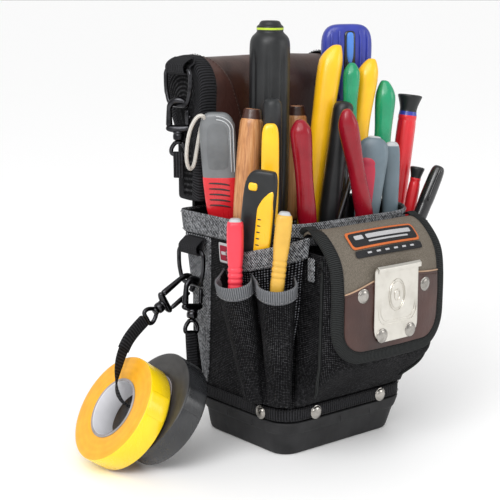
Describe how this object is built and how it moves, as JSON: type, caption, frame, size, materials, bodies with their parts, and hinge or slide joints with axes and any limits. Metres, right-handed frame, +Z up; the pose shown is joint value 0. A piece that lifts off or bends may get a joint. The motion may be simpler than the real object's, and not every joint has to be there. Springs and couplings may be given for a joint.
{
  "type": "electrician tool pouch",
  "caption": "Upright electrician tool pouch with a padded carrying handle, flap pocket, side pockets, belt clip and tape strap, loaded with hand tools.",
  "frame": {"origin": "centre of the underside of the moulded base", "axes": "+Z up, -Y towards the front flap, +X to the right along the front"},
  "size_m": [0.288, 0.1798, 0.3132],
  "materials": {
    "rubber_base": "matte moulded",
    "black_webbing": "ribbed webbing",
    "rivet_steel": "polished domed",
    "black_nylon": "ballistic nylon weave",
    "grey_webbing": "salt and pepper webbing",
    "black_mesh": "coarse padded mesh",
    "taupe_canvas": "plain canvas",
    "brown_leather": "oiled satin",
    "brushed_nickel": "brushed nickel",
    "black_steel": "black oxide",
    "clip_steel": "spring steel",
    "yellow_tape": "vinyl tape",
    "black_tape": "vinyl tape",
    "black_plastic": "moulded grip",
    "blue_plastic": "moulded",
    "yellow_grip": "dipped vinyl",
    "green_grip": "dipped vinyl",
    "red_grip": "dipped vinyl",
    "grey_plastic": "moulded",
    "red_plastic": "moulded",
    "turned_wood": "varnished"
  },
  "bodies": {
    "pouch": {"base_tray": "rubber_base", "base_band": "black_webbing", "body_rivets": "rivet_steel", "body_shell": "black_nylon", "rim_band": "grey_webbing", "corner_webbing_left": "grey_webbing", "corner_webbing_right": "grey_webbing", "side_pocket_left": "black_mesh", "side_pocket_left_band": "grey_webbing", "side_pocket_right": "black_mesh", "side_pocket_right_band": "grey_webbing", "slim_pocket_rear": "black_nylon", "slim_pocket_front": "black_nylon", "front_pocket": "black_nylon", "back_panel": "black_nylon", "handle_roll": "brown_leather", "handle_end_left": "black_webbing", "handle_end_right": "black_webbing", "belt_clip": "clip_steel", "handle_ring_loop": "black_webbing", "rim_ring_loop": "black_webbing"},
    "flap_body": {"flap": "taupe_canvas", "flap_binding": "black_webbing", "flap_leather": "brown_leather", "clip_plate": "brushed_nickel", "flap_rivets": "rivet_steel"},
    "handle_ring_body": {"handle_ring": "black_steel"},
    "handle_hook_body": {"handle_hook": "black_steel"},
    "handle_hook_gate_body": {"handle_hook_gate": "black_steel"},
    "handle_hook_swivel": {"handle_hook_eye": "black_steel", "handle_hook_tab": "black_webbing"},
    "rim_ring_body": {"rim_ring": "black_steel"},
    "tape_thong": {"strap_hook_front": "black_steel", "strap_hook_front_eye": "black_steel", "strap_hook_rear": "black_steel", "strap_hook_rear_eye": "black_steel", "tape_strap": "black_webbing"},
    "strap_hook_front_gate_body": {"strap_hook_front_gate": "black_steel"},
    "strap_hook_rear_gate_body": {"strap_hook_rear_gate": "black_steel"},
    "yellow_roll": {"tape_yellow": "yellow_tape"},
    "black_roll": {"tape_black": "black_tape"},
    "fluted_driver_body": {"tool_fluted_driver": "black_plastic"},
    "black_grip_left_body": {"tool_black_grip_left": "black_plastic"},
    "black_grip_right_body": {"tool_black_grip_right": "black_plastic"},
    "wood_chisel_left_body": {"tool_wood_chisel_left": "turned_wood"},
    "wood_chisel_right_body": {"tool_wood_chisel_right": "turned_wood"},
    "capped_driver_body": {"tool_capped_driver": "red_plastic"},
    "small_red_driver_body": {"tool_small_red_driver": "red_plastic"},
    "marker_body": {"tool_marker": "black_plastic"},
    "slim_red_body": {"tool_slim_red": "red_plastic"},
    "slim_yellow_body": {"tool_slim_yellow": "yellow_grip"},
    "blue_stripper_body": {"tool_blue_stripper": "blue_plastic"},
    "inset_driver_body": {"tool_inset_driver": "grey_plastic"},
    "grey_slab_body": {"tool_grey_slab": "grey_plastic"},
    "folding_saw_body": {"tool_folding_saw": "grey_plastic"},
    "flat_yellow_body": {"tool_flat_yellow": "yellow_grip"},
    "utility_knife_body": {"tool_utility_knife": "yellow_grip"},
    "yellow_pliers_body": {"tool_yellow_pliers": "yellow_grip"},
    "green_pliers_body": {"tool_green_pliers": "green_grip"},
    "red_pliers_body": {"tool_red_pliers": "red_grip"}
  },
  "joints": [
    {"name": "flap_lift", "type": "hinge", "parent": "pouch", "child": "flap_body", "pos_m": [0, -0.0643, 0.17], "axis": [-1, 0, 0], "range_deg": [0, 90]},
    {"name": "handle_ring_swing", "type": "hinge", "parent": "pouch", "child": "handle_ring_body", "pos_m": [-0.0824, 0.042, 0.278], "axis": [0, 1, 0], "range_deg": [0, 75]},
    {"name": "handle_hook_swing", "type": "hinge", "parent": "handle_ring_body", "child": "handle_hook_body", "pos_m": [-0.0824, 0.042, 0.252], "axis": [0, 1, 0], "range_deg": [0, 60]},
    {"name": "handle_hook_swivel_turn", "type": "hinge", "parent": "handle_hook_body", "child": "handle_hook_swivel", "pos_m": [-0.0824, 0.042, 0.222], "axis": [0, 0, 1], "continuous": true},
    {"name": "rim_ring_swing", "type": "hinge", "parent": "pouch", "child": "rim_ring_body", "pos_m": [-0.081, 0.03, 0.1465], "axis": [0, 1, 0], "range_deg": [0, 35]},
    {"name": "tape_thong_swing", "type": "hinge", "parent": "rim_ring_body", "child": "tape_thong", "pos_m": [-0.081, 0.03, 0.1205], "axis": [0, 1, 0], "range_deg": [0, 30]},
    {"name": "handle_hook_gate_open", "type": "hinge", "parent": "handle_hook_body", "child": "handle_hook_gate_body", "pos_m": [-0.0782, 0.0364, 0.2396], "axis": [-0.8, -0.6, 0], "range_deg": [0, 24], "stiffness_Nm_per_rad": 0.02},
    {"name": "strap_hook_front_gate_open", "type": "hinge", "parent": "tape_thong", "child": "strap_hook_front_gate_body", "pos_m": [-0.09543, 0.0333, 0.10447], "axis": [0, -1, 0], "range_deg": [0, 24], "stiffness_Nm_per_rad": 0.02},
    {"name": "strap_hook_rear_gate_open", "type": "hinge", "parent": "tape_thong", "child": "strap_hook_rear_gate_body", "pos_m": [-0.07604, 0.02548, 0.10721], "axis": [0.0155, -0.9952, 0.097], "range_deg": [0, 24], "stiffness_Nm_per_rad": 0.02},
    {"name": "yellow_roll_spin", "type": "hinge", "parent": "tape_thong", "child": "yellow_roll", "pos_m": [-0.1604, 0.0186, 0.0436], "axis": [-0.8093, 0.085, 0.5812], "continuous": true},
    {"name": "black_roll_spin", "type": "hinge", "parent": "tape_thong", "child": "black_roll", "pos_m": [-0.1346, 0.0095, 0.0439], "axis": [-0.8018, 0.102, 0.5888], "continuous": true},
    {"name": "fluted_driver_lift", "type": "slide", "parent": "pouch", "child": "fluted_driver_body", "axis": [-0.0031, -0.0157, 0.9999], "range_m": [0, 0.12]},
    {"name": "black_grip_left_lift", "type": "slide", "parent": "pouch", "child": "black_grip_left_body", "axis": [-0.0198, 0, 0.9998], "range_m": [0, 0.12]},
    {"name": "black_grip_right_lift", "type": "slide", "parent": "pouch", "child": "black_grip_right_body", "axis": [0.1096, 0, 0.994], "range_m": [0, 0.12]},
    {"name": "wood_chisel_left_lift", "type": "slide", "parent": "pouch", "child": "wood_chisel_left_body", "axis": [0.0384, -0.0404, 0.9984], "range_m": [0, 0.045]},
    {"name": "wood_chisel_right_lift", "type": "slide", "parent": "pouch", "child": "wood_chisel_right_body", "axis": [0.0436, 0, 0.999], "range_m": [0, 0.12]},
    {"name": "capped_driver_lift", "type": "slide", "parent": "pouch", "child": "capped_driver_body", "axis": [0.1354, -0.0176, 0.9906], "range_m": [0, 0.08]},
    {"name": "small_red_driver_lift", "type": "slide", "parent": "pouch", "child": "small_red_driver_body", "axis": [0.1675, -0.0638, 0.9838], "range_m": [0, 0.07]},
    {"name": "marker_lift", "type": "slide", "parent": "pouch", "child": "marker_body", "axis": [0.3881, -0.1102, 0.915], "range_m": [0, 0.05]},
    {"name": "slim_red_lift", "type": "slide", "parent": "pouch", "child": "slim_red_body", "axis": [0, 0, 1], "range_m": [0, 0.08]},
    {"name": "slim_yellow_lift", "type": "slide", "parent": "pouch", "child": "slim_yellow_body", "axis": [0, 0, 1], "range_m": [0, 0.045]},
    {"name": "blue_stripper_lift", "type": "slide", "parent": "pouch", "child": "blue_stripper_body", "axis": [-0.0134, -0.0067, 0.9999], "range_m": [0, 0.12]},
    {"name": "inset_driver_lift", "type": "slide", "parent": "pouch", "child": "inset_driver_body", "axis": [0.1243, 0, 0.9922], "range_m": [0, 0.12]},
    {"name": "grey_slab_lift", "type": "slide", "parent": "pouch", "child": "grey_slab_body", "axis": [-0.0055, 0.0278, 0.9996], "range_m": [0, 0.055]},
    {"name": "folding_saw_lift", "type": "slide", "parent": "pouch", "child": "folding_saw_body", "axis": [-0.1416, -0.1164, 0.9831], "range_m": [0, 0.12]},
    {"name": "flat_yellow_lift", "type": "slide", "parent": "pouch", "child": "flat_yellow_body", "axis": [0.0075, 0, 1], "range_m": [0, 0.045]},
    {"name": "utility_knife_lift", "type": "slide", "parent": "pouch", "child": "utility_knife_body", "axis": [-0.0074, -0.1406, 0.99], "range_m": [0, 0.08]},
    {"name": "yellow_pliers_lift", "type": "slide", "parent": "pouch", "child": "yellow_pliers_body", "axis": [0.1754, -0.0517, 0.9831], "range_m": [0, 0.02]},
    {"name": "green_pliers_lift", "type": "slide", "parent": "pouch", "child": "green_pliers_body", "axis": [0.0271, -0.0932, 0.9953], "range_m": [0, 0.008]},
    {"name": "red_pliers_lift", "type": "slide", "parent": "pouch", "child": "red_pliers_body", "axis": [-0.1712, -0.0046, 0.9852], "range_m": [0, 0.12]}
  ]
}
